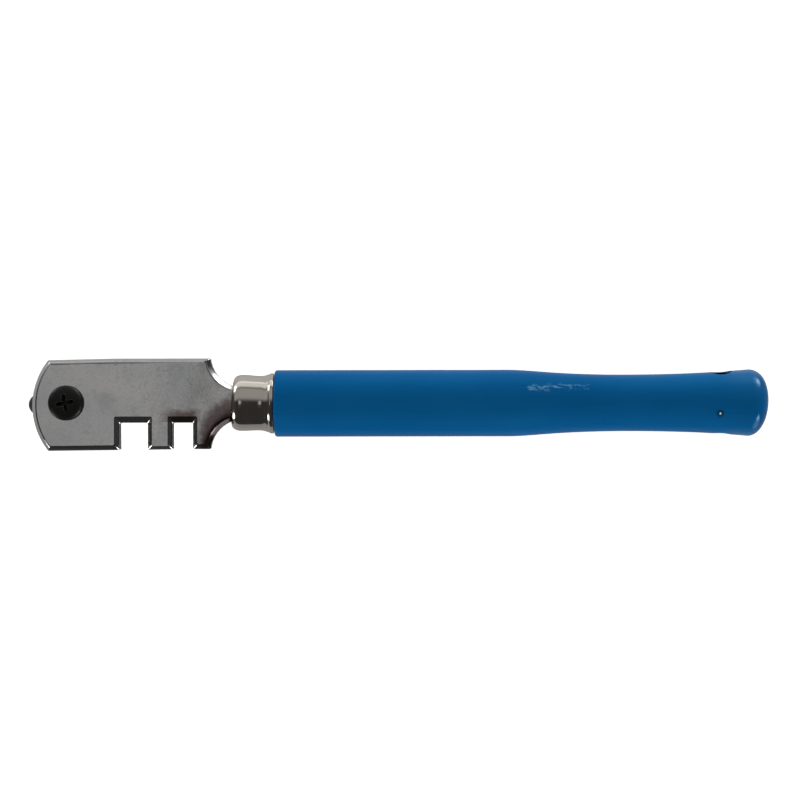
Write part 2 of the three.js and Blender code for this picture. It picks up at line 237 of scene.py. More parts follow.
class Shader(Nodes):
    """A material and short calls for its textures and bumps."""

    def __init__(self, name):
        self.material = bpy.data.materials.new(name)
        self.material.use_nodes = True
        super().__init__(self.material.node_tree)
        self.bsdf = self.nodes["Principled BSDF"]
        self.place = self.node("TexCoord").outputs["Object"]

    def stretched(self, scale):
        mapping = self.node("Mapping")
        self.feed(self.place, mapping.inputs["Vector"])
        mapping.inputs["Scale"].default_value = scale
        return mapping.outputs["Vector"]

    def noise(self, wavelength, detail=3.0, roughness=0.5, stretch=(1, 1, 1)):
        texture = self.node("TexNoise")
        self.feed(self.stretched(tuple(s / wavelength for s in stretch)), texture.inputs["Vector"])
        texture.inputs["Scale"].default_value = 1.0
        texture.inputs["Detail"].default_value = detail
        texture.inputs["Roughness"].default_value = roughness
        return texture.outputs["Fac"]

    def cells(self, spacing):
        """Distance to the nearest of many scattered points, as a share of their spacing."""
        texture = self.node("TexVoronoi")
        self.feed(self.stretched((1 / spacing,) * 3), texture.inputs["Vector"])
        texture.inputs["Scale"].default_value = 1.0
        return texture.outputs["Distance"]

    def bump(self, height, distance, strength=1.0, under=None):
        made = self.node("Bump")
        made.inputs["Strength"].default_value = strength
        made.inputs["Distance"].default_value = distance
        self.feed(height, made.inputs["Height"])
        if under is not None:
            self.feed(under, made.inputs["Normal"])
        return made.outputs["Normal"]

    def distance_xy(self, centre):
        """Distance from a line along Z through centre."""
        away = self.vector("SUBTRACT", self.place, (centre.x, centre.y, 0))
        return self.vector("LENGTH", self.vector("MULTIPLY", away, (1, 1, 0)))

    def worn_edges(self, radius, worn=0.8, whole=0.99):
        """1 at sharp edges and 0 elsewhere. A normal rounded off over radius leans away from
        the true one there: worn and whole are the cosines of a full lean and of none."""
        bevel = self.node("Bevel", samples=4)
        bevel.inputs["Radius"].default_value = radius
        normal = self.node("NewGeometry").outputs["Normal"]
        lean = self.vector("DOT_PRODUCT", bevel.outputs["Normal"], normal)
        return self.span(lean, worn, whole, 1.0, 0.0)

    def finished(self, **sockets):
        """Sets or links the named sockets of the surface and returns the material."""
        for name, value in sockets.items():
            self.feed(value, self.bsdf.inputs[name.replace("_", " ")])
        return self.material


def grey(value, warmth=0.0):
    """A grey as a colour; warmth shifts it from blue to red."""
    return (value * (1 + warmth), value, value * (1 - warmth), 1.0)


# ---------------- materials

PLATING_COOL = (0.52, 0.535, 0.53, 1)
PLATING_WARM = (0.60, 0.585, 0.58, 1)
PLATING_STAIN = grey(0.42, 0.04)
SMUDGE_GREY = grey(0.36)
SMUDGE = Vector((-51.2 * MM, 0.4 * MM))
SMUDGE_RADIUS = 2.6 * MM
# Painted shade: the brown and the black below, and the sizes after them, darken the face round the claw
# and along the narrow notch
SHADE_BROWN = (0.20, 0.155, 0.15, 1)
SHADE_BLACK = (0.045, 0.035, 0.032, 1)
RAGGED = 0.45 * MM
CLAW_SHADE = (CLAW_RADIUS + 2.4 * MM, CLAW_RADIUS + 0.9 * MM)
CLAW_DARK_SHADE = (CLAW_RADIUS + 0.6 * MM, CLAW_RADIUS - 0.3 * MM)
SHADE_SPREAD = 0.27
NOTCH_SHADE_X = (-42.6 * MM, -38.6 * MM)
NOTCH_SHADE_Y = (-0.5 * MM, -2.0 * MM)
NOTCH_WALL_Y = (-3.3 * MM, -3.15 * MM)
SHADE_END_X = (-34.3 * MM, -36.2 * MM)


def with_painted_shade(s, colour):
    """Paints shade into the colour, brown and then black: round the claw and along the narrow notch, a
    darker brownish reflection painted on the face.
    """
    ragged = s.span(s.noise(0.8 * MM, detail=4), 0.2, 0.8, -RAGGED, RAGGED)
    x, straight_y, _ = s.parts(s.place)
    y = s.math("ADD", straight_y, ragged)
    wider = s.product(s.math("SUBTRACT", y, REAR_BOTTOM_Y), SHADE_SPREAD)
    from_claw = s.math("SUBTRACT", s.math("ADD", s.distance_xy(CLAW_CENTRE), ragged), wider)
    along_notch = s.product(s.ramp(x, *NOTCH_SHADE_X), s.ramp(x, *SHADE_END_X))
    above_wall = s.ramp(straight_y, *NOTCH_WALL_Y)
    over_notch = s.product(s.ramp(y, *NOTCH_SHADE_Y), along_notch, above_wall)
    # Painted shade over the narrow notch and round the claw, black nearest the claw
    colour = s.blend(over_notch, colour, SHADE_BROWN)
    colour = s.blend(s.ramp(from_claw, *CLAW_SHADE), colour, SHADE_BROWN)
    return s.blend(s.product(s.ramp(from_claw, *CLAW_DARK_SHADE), 0.8), colour, SHADE_BLACK)


def plating_colour(s, broad):
    """Mottled plating with faint stains, a thumb smudge and painted shade round the claw and along the
    narrow notch.
    """
    tint = s.blend(s.span(broad, 0.35, 0.65), PLATING_COOL, PLATING_WARM)
    stain = s.span(s.noise(1.3 * MM, detail=5, roughness=0.6), 0.53, 0.72, 0.0, 0.45)
    colour = s.blend(stain, tint, PLATING_STAIN)
    near_smudge = s.ramp(s.distance_xy(SMUDGE), SMUDGE_RADIUS, 0)
    smudge = s.product(near_smudge, s.span(broad, 0.3, 0.7, 0.5, 1.0))
    return with_painted_shade(s, s.blend(s.product(smudge, 0.6), colour, SMUDGE_GREY))


def plated_casting():
    """Satin plating over a cast face: mottling, fine grain, a few pits and stains, and painted shade
    round the claw and along the narrow notch.
    """
    s = Shader("plated_casting")
    colour = plating_colour(s, s.noise(6 * MM, detail=3))
    fine = s.noise(0.35 * MM, detail=4, roughness=0.6)
    pits = s.span(s.cells(1.1 * MM), 0.0, 0.08, 1.0, 0.0)
    waves = s.bump(s.noise(3.0 * MM, detail=1), 0.03 * MM, 0.5)
    grain = s.bump(fine, 0.006 * MM, 0.7, under=waves)
    normal = s.bump(pits, 0.02 * MM, -0.5, under=grain)
    roughness = s.span(fine, 0.3, 0.7, 0.10, 0.17)
    return s.finished(Base_Color=colour, Metallic=1.0, Roughness=roughness, Normal=normal)


NICKEL_DARK = (0.62, 0.57, 0.50, 1)
NICKEL_LIGHT = (0.70, 0.66, 0.59, 1)


def bright_nickel():
    """Polished pressed cup: warm and nearly mirror bright, with turning lines and haze."""
    s = Shader("ferrule_nickel")
    haze = s.noise(1.8 * MM, detail=4)
    tint = s.blend(haze, NICKEL_DARK, NICKEL_LIGHT)
    lines = s.noise(0.14 * MM, detail=2, stretch=(1, 0.04, 0.04))
    dents = s.bump(s.noise(2.6 * MM, detail=1), 0.01 * MM, 0.5)
    normal = s.bump(lines, 0.002 * MM, 0.4, under=dents)
    roughness = s.span(haze, 0.3, 0.7, 0.06, 0.14)
    return s.finished(Base_Color=tint, Metallic=1.0, Roughness=roughness, Normal=normal)


def ground_steel(name, value, wavelength):
    """Hardened steel with fine grinding marks round its edges."""
    s = Shader(name)
    marks = s.noise(wavelength, detail=3, stretch=(0.3, 0.3, 1))
    tint = s.blend(s.noise(1.2 * MM), grey(value * 0.85, 0.03), grey(value * 1.1))
    normal = s.bump(marks, 0.003 * MM, 0.5)
    roughness = s.span(marks, 0.3, 0.7, 0.18, 0.36)
    return s.finished(Base_Color=tint, Metallic=1.0, Roughness=roughness, Normal=normal)


OILY_BLACK = (0.006, 0.0065, 0.0055, 1)
RUBBED_STEEL = (0.2, 0.2, 0.19, 1)


def black_oxide():
    """Blackened screw: oily black, rubbed a little brighter along its edges."""
    s = Shader("black_screw")
    patchy = s.span(s.noise(0.35 * MM, detail=4), 0.38, 0.62)
    rubbed = s.product(s.worn_edges(0.1 * MM), patchy)
    tint = s.blend(s.product(rubbed, 0.9), OILY_BLACK, RUBBED_STEEL)
    grain = s.noise(0.12 * MM, detail=3)
    normal = s.bump(grain, 0.004 * MM, 0.8)
    roughness = s.span(grain, 0.3, 0.7, 0.3, 0.5)
    sheen = {"Metallic": 0.2, "Specular_IOR_Level": 0.35}
    return s.finished(Base_Color=tint, Roughness=roughness, Normal=normal, **sheen)


PAINT_DEEP = (0.0025, 0.096, 0.275, 1)
PAINT_CLEAR = (0.0045, 0.112, 0.302, 1)
PAINT_GRAIN = (0.004, 0.078, 0.23, 1)
PAINT_SCUFF = (0.10, 0.24, 0.42, 1)
# The next colour is a painted highlight, for the taper
PAINT_HIGHLIGHT = (0.12, 0.30, 0.50, 1)
# Near black: painted shade inside the cross hole
HOLE_SHADE = (0.002, 0.006, 0.010, 1)
# Painted shade round the nib, then a painted glint on its tip
NIB_SHADE = (0.003, 0.045, 0.11, 1)
NIB_GLINT = (0.82, 0.88, 0.90, 1)
PAINT_SHEEN = (0.12, 0.5, 0.8, 1)
STREAK_X = (21.2 * MM, 23.2 * MM, 27.5 * MM, 37 * MM)
STREAK_Y = (1.7 * MM, 2.4 * MM, 3.0 * MM, 3.9 * MM)
HOLE_SHADE_EDGE = (HANG_HOLE_RADIUS + 0.12 * MM, HANG_HOLE_RADIUS + 0.02 * MM)
NIB_SHADE_RING = (0.95 * MM, 0.3 * MM)
NIB_GLINT_DOT = (0.21 * MM, 0.15 * MM)
KNOB_GLOSS_X = (KNOB_WIDEST_X - 5 * MM, KNOB_WIDEST_X - 1 * MM)


def taper_highlight(s):
    """A painted highlight on the upper side of the taper, broken into pale specks."""
    x, y, _ = s.parts(s.place)
    within = s.product(s.band(x, *STREAK_X), s.band(y, *STREAK_Y))
    specks = s.noise(0.55 * MM, detail=4, stretch=(0.45, 1, 1), roughness=0.7)
    lifted = s.math("ADD", specks, s.product(within, 0.2))
    return s.product(s.span(lifted, 0.66, 0.74), within)


def inside_hang_hole(s):
    """1 on the wall of the cross hole, from the distance to its own axis; there the colour is darkened
    as painted shade.
    """
    bore = s.node("Mapping", vector_type="TEXTURE")
    s.feed(s.place, bore.inputs["Vector"])
    bore.inputs["Location"].default_value = (HANG_HOLE_X, 0, AXIS_Z)
    bore.inputs["Rotation"].default_value = (HANG_HOLE_TILT, 0, 0)
    across = s.vector("MULTIPLY", bore.outputs["Vector"], (1, 0, 1))
    return s.ramp(s.vector("LENGTH", across), *HOLE_SHADE_EDGE)


def paint_colour(s, flow, grain, scuffs):
    """Blue that thins over the grain, with scuffs, a painted highlight on the taper, painted shade in
    the cross hole, and on the nib a ring of painted shade round a painted glint.
    """
    base = s.blend(s.span(flow, 0.32, 0.68), PAINT_DEEP, PAINT_CLEAR)
    colour = s.blend(s.span(grain, 0.5, 0.8, 0.0, 0.4), base, PAINT_GRAIN)
    colour = s.blend(s.product(scuffs, 0.25), colour, PAINT_SCUFF)
    # Painted highlight along the taper
    colour = s.blend(s.product(taper_highlight(s), 0.75), colour, PAINT_HIGHLIGHT)
    # Painted shade on the wall of the cross hole
    colour = s.blend(inside_hang_hole(s), colour, HOLE_SHADE)
    from_nib = s.distance_xy(Vector((NIB_X, NIB_Y)))
    # Painted shade in a ring round the nib, then a painted glint at its centre
    colour = s.blend(s.ramp(from_nib, *NIB_SHADE_RING), colour, NIB_SHADE)
    return s.blend(s.ramp(from_nib, *NIB_GLINT_DOT), colour, NIB_GLINT)


def blue_enamel():
    """Gloss paint dipped over turned wood: orange peel, sags, faint grain, light scuffs, and painted
    highlights and shade.
    """
    s = Shader("handle_paint")
    flow = s.noise(12 * MM, detail=3, stretch=(0.5, 1, 1))
    grain = s.noise(0.5 * MM, detail=3, stretch=(0.04, 1, 1))
    scratches = s.span(s.noise(0.2 * MM, detail=2, stretch=(0.06, 1, 1)), 0.68, 0.76)
    scuffs = s.product(scratches, s.span(s.noise(5 * MM, detail=2), 0.58, 0.66))
    sags = s.bump(s.noise(4.0 * MM, detail=1), 0.04 * MM, 0.5)
    peel = s.bump(s.noise(0.9 * MM, detail=2), 0.014 * MM, 0.6, under=sags)
    normal = s.bump(grain, 0.003 * MM, 0.4, under=peel)
    roughness = s.math("ADD", s.span(flow, 0.3, 0.7, 0.13, 0.2), s.product(scuffs, 0.3))
    gloss = s.span(s.parts(s.place)[0], *KNOB_GLOSS_X, 0.05, 0.42)
    return s.finished(
        Base_Color=paint_colour(s, flow, grain, scuffs), Roughness=roughness, Normal=normal,
        Specular_IOR_Level=gloss, Specular_Tint=PAINT_SHEEN,
    )


PAPER_LIGHT = 0.78


def pale_floor():
    """A white sweep of paper, lit so brightly that it nearly loses its shadows."""
    s = Shader("pale_floor")
    tone = s.blend(s.noise(60 * MM, detail=2), grey(0.80), grey(0.84))
    glow = {"Emission_Color": grey(1.0), "Emission_Strength": PAPER_LIGHT}
    return s.finished(Base_Color=tone, Roughness=0.9, **glow)


MATERIALS = {
    "plated_casting": plated_casting(),
    "ferrule_nickel": bright_nickel(),
    "handle_paint": blue_enamel(),
    "turret_steel": ground_steel("turret_steel", 0.32, 0.25 * MM),
    "pin_steel": ground_steel("pin_steel", 0.45, 0.15 * MM),
    "wheel_steel": ground_steel("wheel_steel", 0.17, 0.12 * MM),
    "black_screw": black_oxide(),
}


# ---------------- mesh helpers

SMOOTH_ANGLE = math.radians(32)
MERGE = 0.0005 * MM


def in_scene(name, data):
    """A new object in the scene, for a mesh, a light or a camera."""
    made = bpy.data.objects.new(name, data)
    bpy.context.scene.collection.objects.link(made)
    return made


def mesh_object(name, points, faces):
    mesh = bpy.data.meshes.new(name)
    mesh.from_pydata([tuple(p) for p in points], [], faces)
    return in_scene(name, mesh)


def with_bmesh(piece, *steps):
    """piece after each step has worked on its mesh."""
    work = bmesh.new()
    work.from_mesh(piece.data)
    for step in steps:
        step(work)
    work.to_mesh(piece.data)
    work.free()
    return piece


def face_out(work):
    bmesh.ops.recalc_face_normals(work, faces=work.faces)


def merge_points(work):
    bmesh.ops.remove_doubles(work, verts=work.verts, dist=MERGE)


def drop_slivers(work):
    bmesh.ops.dissolve_degenerate(work, edges=work.edges, dist=MERGE)


def combined(piece, tools, operation="DIFFERENCE"):
    """piece with each tool cut away from it or joined to it; the tools are used up."""
    for tool in tools:
        modifier = piece.modifiers.new("combine", "BOOLEAN")
        modifier.object = tool
        modifier.operation = operation
        modifier.solver = "EXACT"
        graph = bpy.context.evaluated_depsgraph_get()
        mesh = bpy.data.meshes.new_from_object(piece.evaluated_get(graph))
        piece.modifiers.clear()
        piece.data = mesh
        bpy.data.objects.remove(tool)
    return with_bmesh(piece, merge_points, drop_slivers)


def fitted(piece, body, slot, node):
    """Smooths a finished piece, gives it its material and its body, and hides the CAD node it replaces.
    """
    mesh = piece.data
    mesh.polygons.foreach_set("use_smooth", [True] * len(mesh.polygons))
    mesh.set_sharp_from_angle(angle=SMOOTH_ANGLE)
    mesh.materials.clear()
    mesh.materials.append(MATERIALS[slot])
    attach(piece, body)
    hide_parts(node)
    return piece


def turned(name, profile, segments, axis, centre, bend=None):
    """A turned solid. profile holds (along, radius) points: an open line that starts and
    ends on the axis, or a ring that never meets it. bend moves each local point."""
    points, rows = [], []
    for along, radius in profile:
        row = []
        for k in range(segments if radius > 0 else 1):
            turn = 2 * math.pi * k / segments
            across = (radius * math.cos(turn), radius * math.sin(turn))
            local = Vector((along, *across) if axis == "X" else (*across, along))
            row.append(len(points))
            points.append((bend(local) if bend else local) + centre)
        rows.append(row)
    pairs = list(zip(rows, rows[1:]))
    if profile[0][1] > 0:
        pairs.append((rows[-1], rows[0]))
    faces = []
    for near, far in pairs:
        for k in range(segments):
            corners = [near[k % len(near)], near[(k + 1) % len(near)]]
            corners += [far[(k + 1) % len(far)], far[k % len(far)]]
            face = list(dict.fromkeys(corners))
            if len(face) > 2:
                faces.append(face)
    return with_bmesh(mesh_object(name, points, faces), face_out)


def bezier(p0, p1, p2, p3, steps):
    """Points of a cubic curve, from just after p0 up to p3."""
    made = []
    for k in range(1, steps + 1):
        t = k / steps
        weights = ((1 - t) ** 3, 3 * t * (1 - t) ** 2, 3 * t * t * (1 - t), t ** 3)
        made.append(tuple(sum(w * p[i] for w, p in zip(weights, (p0, p1, p2, p3))) for i in (0, 1)))
    return made


def eased(before, corner, after, radius, steps):
    """A corner of a line rounded off, as steps + 1 points."""
    here = Vector(corner)
    back, ahead = Vector(before) - here, Vector(after) - here
    reach = min(radius, 0.45 * back.length, 0.45 * ahead.length)
    start, end = here + back.normalized() * reach, here + ahead.normalized() * reach
    shares = [k / steps for k in range(steps + 1)]
    return [start * (1 - t) ** 2 + here * 2 * t * (1 - t) + end * t * t for t in shares]


def ring_profile(corners, radius, steps=3):
    """A closed profile with all its corners rounded."""
    made = []
    for k, corner in enumerate(corners):
        made += eased(corners[k - 1], corner, corners[(k + 1) % len(corners)], radius, steps)
    return [tuple(p) for p in made]


def line_profile(corners, radius, steps=3):
    """An open profile with the corners between its ends rounded."""
    made = [corners[0]]
    for before, corner, after in zip(corners, corners[1:], corners[2:]):
        made += [tuple(p) for p in eased(before, corner, after, radius, steps)]
    return made + [corners[-1]]


def rod(name, radius, length, segments):
    """A plain closed cylinder about the origin, along Z, for cutting."""
    half = length / 2
    profile = [(-half, 0), (-half, radius), (half, radius), (half, 0)]
    return turned(name, profile, segments, "Z", Vector())


def block(name, low, high):
    """A plain closed box, for cutting."""
    points = [(x, y, z) for x in (low[0], high[0]) for y in (low[1], high[1]) for z in (low[2], high[2])]
    faces = [(0, 1, 3, 2), (4, 6, 7, 5), (0, 4, 5, 1), (2, 3, 7, 6), (0, 2, 6, 4), (1, 5, 7, 3)]
    return with_bmesh(mesh_object(name, points, faces), face_out)


def tube_faces(start, count, rings):
    """Faces between rings of count points each, whose first point is number start."""
    faces = []
    for level in range(rings - 1):
        for k in range(count):
            a, b = start + level * count + k, start + level * count + (k + 1) % count
            faces.append((a, b, b + count, a + count))
    return faces


def moved(piece, matrix):
    piece.data.transform(matrix)
    return piece


# ---------------- head

CORNER_STEPS = 4
FRONT_STEPS = 64
SHOULDER_STEPS = 28
FACE_GRID = 0.4 * MM
SCRIBE_DEPTH = 0.07 * MM
SCRIBE_FADE = 0.3 * MM
# (inset past the bevel, depth below the face) where the bevel rolls over into the face,
# and then across the scribed line
FACE_EASE = ((-0.02 * MM, 0.038 * MM), (0.05 * MM, 0.012 * MM), (0.12 * MM, 0.002 * MM))
SCRIBED = ((0.18 * MM, 0), (0.24 * MM, SCRIBE_DEPTH), (0.30 * MM, 0))
# Two edges whose directions differ by less than this sine are taken as one line
PARALLEL = 1e-4
CLAW_ROLL_WIDTH = 1.3 * MM
CLAW_ROLL_DEPTH = 0.14 * MM
NECK_RISE_X = -34 * MM
NECK_RISE_CURVE = 0.00145 / MM
TOOTH_STEP_X = (-43.05 * MM, -40.3 * MM)
TOOTH_STEP_Y = -2.05 * MM
TOOTH_STEP_DEPTH = 0.1 * MM
HOLE_LIP = 0.08 * MM
TANG_NECK_OVERLAP = 1 * MM
TANG_SHOULDER_X = 3.2 * MM
TANG_END_X = 4 * MM
TANG_END_SHARE = 0.6
TANG_ARRIS = 0.15
CUT_MARGIN = 1 * MM


def arc(centre, radius, start, end, steps):
    """Points of an arc from the start angle to the end angle, both included."""
    turns = [start + (end - start) * k / steps for k in range(steps + 1)]
    return [(centre[0] + radius * math.cos(t), centre[1] + radius * math.sin(t)) for t in turns]


def shoulder_arc(height, side):
    """A shoulder's arc from its corner to the neck, above the axis (side 1) or below (-1)."""
    radius = shoulder_radius(height)
    centre_y = NECK_HALF + radius
    start = math.atan2(height - centre_y, SHOULDER_X - NECK_END_X) % (2 * math.pi)
    points = arc((NECK_END_X, centre_y), radius, start, 1.5 * math.pi, SHOULDER_STEPS)
    return [(x, side * y) for x, y in points]


def head_outline():
    """Corners of the plate, counter-clockwise: (x, y, is sharp, bevel of the edge after
    it, and 1 where a fine line is scribed beside that bevel)."""
    middle = PLATE_BOTTOM_Y + FRONT_HALF_HEIGHT
    half = FRONT_HALF_HEIGHT
    spread = math.asin(half / FRONT_ARC_RADIUS)
    centre_x = PLATE_FRONT_X + FRONT_ARC_RADIUS
    corner_x = centre_x - FRONT_ARC_RADIUS * math.cos(spread)
    rise = (REAR_BOTTOM_Y - PLATE_BOTTOM_Y) / (SHOULDER_X - corner_x)
    made = []
    for near_x, far_x in NOTCHES_X:
        near_y = PLATE_BOTTOM_Y + (near_x - corner_x) * rise
        far_y = PLATE_BOTTOM_Y + (far_x - corner_x) * rise
        made += [(near_x, near_y, True, BEVEL, 0), (near_x, NOTCH_TOP_Y, True, NOTCH_TOP_BEVEL, 0)]
        made += [(far_x, NOTCH_TOP_Y, True, BEVEL, 0), (far_x, far_y, True, BEVEL, 0)]
    below = shoulder_arc(-REAR_BOTTOM_Y, -1)
    made += [(x, y, k in (0, SHOULDER_STEPS), BEVEL, 0) for k, (x, y) in enumerate(below)]
    above = shoulder_arc(PLATE_TOP_Y, 1)
    made += [(x, y, k == SHOULDER_STEPS, BEVEL, 0) for k, (x, y) in enumerate(above[::-1])][:-1]
    made.append((*above[0], True, TOP_BEVEL, 0))
    made.append((SLOT_END_X + SCRIBE_FADE, PLATE_TOP_Y, False, TOP_BEVEL, 0))
    made.append((SLOT_END_X, PLATE_TOP_Y, False, TOP_BEVEL, 1))
    front = arc((centre_x, middle), FRONT_ARC_RADIUS, math.pi - spread, math.pi + spread, FRONT_STEPS)
    made += [(x, y, k in (0, FRONT_STEPS), BEVEL, int(k == 0)) for k, (x, y) in enumerate(front)]
    return made


def inset(outline, share, extra):
    """The outline moved in by a share of each edge's bevel plus extra, corners mitred."""
    lines = []
    for k, (x, y, _, bevel, _) in enumerate(outline):
        after = outline[(k + 1) % len(outline)]
        along = Vector((after[0] - x, after[1] - y)).normalized()
        inward = Vector((-along.y, along.x))
        lines.append((Vector((x, y)) + inward * (share * bevel + extra), along))
    corners = []
    for (p, u), (q, v) in zip([lines[-1]] + lines, lines):
        cross = u.x * v.y - u.y * v.x
        gap = q - p
        reach = (gap.x * v.y - gap.y * v.x) / cross if abs(cross) > PARALLEL else gap.dot(u)
        corners.append(p + u * reach)
    return corners


def head_ring(outline, share, extra):
    """One ring of the bevel with its sharp corners rounded, and each point's scribe mark."""
    corners = inset(outline, share, extra)
    points, marks = [], []
    for k, here in enumerate(corners):
        if outline[k][2]:
            after = corners[(k + 1) % len(corners)]
            made = eased(corners[k - 1], here, after, CORNER_RADIUS, CORNER_STEPS)
        else:
            made = [here]
        points += made
        marks += [outline[k][4]] * len(made)
    return points, marks


def smoothly(value, start, end):
    """0 at start, 1 at end, and smooth between them."""
    share = min(max((value - start) / (end - start), 0), 1)
    return share * share * (3 - 2 * share)


def crown(x, y):
    """How far the face has dropped: buffed away along the claw, built up along the neck."""
    from_claw = math.hypot(x - CLAW_CENTRE.x, y - CLAW_CENTRE.y) - CLAW_RADIUS
    rolled = CLAW_ROLL_DEPTH * max(0, 1 - max(from_claw, 0) / CLAW_ROLL_WIDTH) ** 2
    return rolled - NECK_RISE_CURVE * max(0, x - NECK_RISE_X) ** 2


def raised(point, height):
    """A point of the plate's skin, with the crown taken off its height."""
    return Vector((point.x, point.y, height * (1 - crown(point.x, point.y) / PLATE_HALF)))


def bevel_levels():
    """(share of the bevel, extra inset, height, scribe depth) from wall to face."""
    wall = PLATE_HALF - BEVEL_DEPTH
    near = EDGE_EASE / BEVEL
    levels = [(0, 0, wall - EDGE_EASE, 0)]
    levels += [(near * 0.25, 0, wall + EDGE_EASE * 0.03, 0), (near, 0, wall + EDGE_EASE, 0)]
    levels.append((1 - near, 0, PLATE_HALF - EDGE_EASE, 0))
    levels += [(1, extra, PLATE_HALF - depth, 0) for extra, depth in FACE_EASE]
    return levels + [(1, extra, PLATE_HALF, scribe) for extra, scribe in SCRIBED]


def face_fill(ring):
    """Triangles over the inside of a ring, with an even grid of points across it."""
    xs, ys = [p.x for p in ring], [p.y for p in ring]
    columns = range(1, int((max(xs) - min(xs)) / FACE_GRID))
    rows = range(1, int((max(ys) - min(ys)) / FACE_GRID))
    grid = [Vector((min(xs) + i * FACE_GRID, min(ys) + j * FACE_GRID)) for i in columns for j in rows]
    clear = [p for p in grid if min((p - q).length_squared for q in ring) > (0.5 * FACE_GRID) ** 2]
    loop = list(range(len(ring)))
    points, _, faces, *_ = geometry.delaunay_2d_cdt(list(ring) + clear, [], [loop], 1, MERGE)
    return points, faces


def casting_shell():
    """The plate before it is slotted and drilled: two bevelled faces and the wall."""
    outline = head_outline()
    levels = bevel_levels()
    rings = []
    for share, extra, height, scribe in levels:
        flat, marks = head_ring(outline, share, extra)
        rings.append([raised(p, height - mark * scribe) for p, mark in zip(flat, marks)])
    count = len(rings[0])
    points, faces = [], []
    for side in (1, -1):
        start = len(points)
        points += [Vector((p.x, p.y, side * p.z)) for ring in rings for p in ring]
        faces += tube_faces(start, count, len(rings))
        fill, triangles = face_fill([p.xy for p in rings[-1]])
        base = len(points)
        points += [raised(p, side * PLATE_HALF) for p in fill]
        faces += [tuple(base + i for i in triangle) for triangle in triangles]
    below = len(points) // 2
    faces += [(k, (k + 1) % count, below + (k + 1) % count, below + k) for k in range(count)]
    shell = mesh_object("head_casting", points, faces)
    return with_bmesh(shell, merge_points, face_out)


def tang():
    """A square spike with softened arrises, its root buried in the neck."""
    corners = [(1, 1), (-1, 1), (-1, -1), (1, -1)]
    stations = [
        (NECK_END_X - TANG_NECK_OVERLAP, TANG_ROOT_HALF), (TANG_SHOULDER_X, TANG_TIP_HALF),
        (TANG_END_X, TANG_END_SHARE * TANG_TIP_HALF),
    ]
    points = []
    for x, half in stations:
        square = [Vector(corner) * half for corner in corners]
        for k, corner in enumerate(square):
            arris = eased(square[k - 1], corner, square[(k + 1) % 4], TANG_ARRIS * half, 2)
            points += [Vector((x, p.x, p.y)) for p in arris]
    count = len(points) // len(stations)
    faces = tube_faces(0, count, len(stations))
    faces += [tuple(range(count)), tuple(range(2 * count, 3 * count))]
    return with_bmesh(mesh_object("tang", points, faces), face_out)


def screw_hole_cutter():
    """The clearance hole, its mouths slightly broken."""
    reach, mouth = 2 * PLATE_HALF, SCREW_HOLE_RADIUS + HOLE_LIP
    profile = [
        (-reach, 0), (-reach, mouth), (-PLATE_HALF, mouth),
        (-PLATE_HALF + HOLE_LIP, SCREW_HOLE_RADIUS), (PLATE_HALF - HOLE_LIP, SCREW_HOLE_RADIUS),
        (PLATE_HALF, mouth), (reach, mouth), (reach, 0),
    ]
    return turned("hole_cutter", profile, 64, "Z", Vector((TURRET_CENTRE.x, TURRET_CENTRE.y, 0)))


def head():
    """The casting: plate and tang joined, then slotted, drilled and stepped at the tooth."""
    reach = 2 * PLATE_TOP_Y
    slot_low = (PLATE_FRONT_X - CUT_MARGIN, -reach, -SLOT_HALF)
    slot = block("slot_cutter", slot_low, (SLOT_END_X, reach, SLOT_HALF))
    step_low = (TOOTH_STEP_X[0], PLATE_BOTTOM_Y - CUT_MARGIN, PLATE_HALF - TOOTH_STEP_DEPTH)
    step = block("step_cutter", step_low, (TOOTH_STEP_X[1], TOOTH_STEP_Y, 2 * PLATE_HALF))
    casting = combined(casting_shell(), [tang()], "UNION")
    combined(casting, [slot, screw_hole_cutter(), step])
    moved(casting, Matrix.Translation((0, 0, AXIS_Z)))
    return fitted(casting, "tool", "plated_casting", "head")


# ---------------- turret, wheels and pins

TURRET_RIM_EASE = 0.1 * MM
PIN_HOLE_GAP = 0.03 * MM
PIN_DOME = 0.12 * MM
WHEEL_LIP = 0.06 * MM
WHEEL_SHOULDER_EASE = 0.02 * MM


def turret():
    """A spool with rounded rims, drilled for the six pins."""
    corners = [
        (-TURRET_HALF, SCREW_HOLE_RADIUS), (-TURRET_HALF, TURRET_RADIUS), (-GROOVE_HALF, TURRET_RADIUS),
        (-GROOVE_HALF, TURRET_HUB_RADIUS), (GROOVE_HALF, TURRET_HUB_RADIUS),
        (GROOVE_HALF, TURRET_RADIUS), (TURRET_HALF, TURRET_RADIUS), (TURRET_HALF, SCREW_HOLE_RADIUS),
    ]
    profile = ring_profile(corners, TURRET_RIM_EASE)
    spool = turned("turret_spool", profile, 128, "Z", TURRET_CENTRE)
    drills = []
    for place in WHEEL_PLACES:
        drill = rod("drill", PIN_RADIUS + PIN_HOLE_GAP, 4 * TURRET_HALF, 24)
        drills.append(moved(drill, Matrix.Translation(place)))
    return fitted(combined(spool, drills), "turret", "turret_steel", "turret")


def wheel_pin(number, place):
    """A short steel pin with slightly domed ends."""
    profile = [(-PIN_HALF, 0), (-PIN_HALF + 0.3 * PIN_DOME, 0.6 * PIN_RADIUS)]
    profile.append((-PIN_HALF + PIN_DOME, PIN_RADIUS))
    profile += [(-along, radius) for along, radius in reversed(profile)]
    pin = turned(f"pin_{number}", profile, 24, "Z", place)
    return fitted(pin, "turret", "pin_steel", f"wheel_pin_{number}")


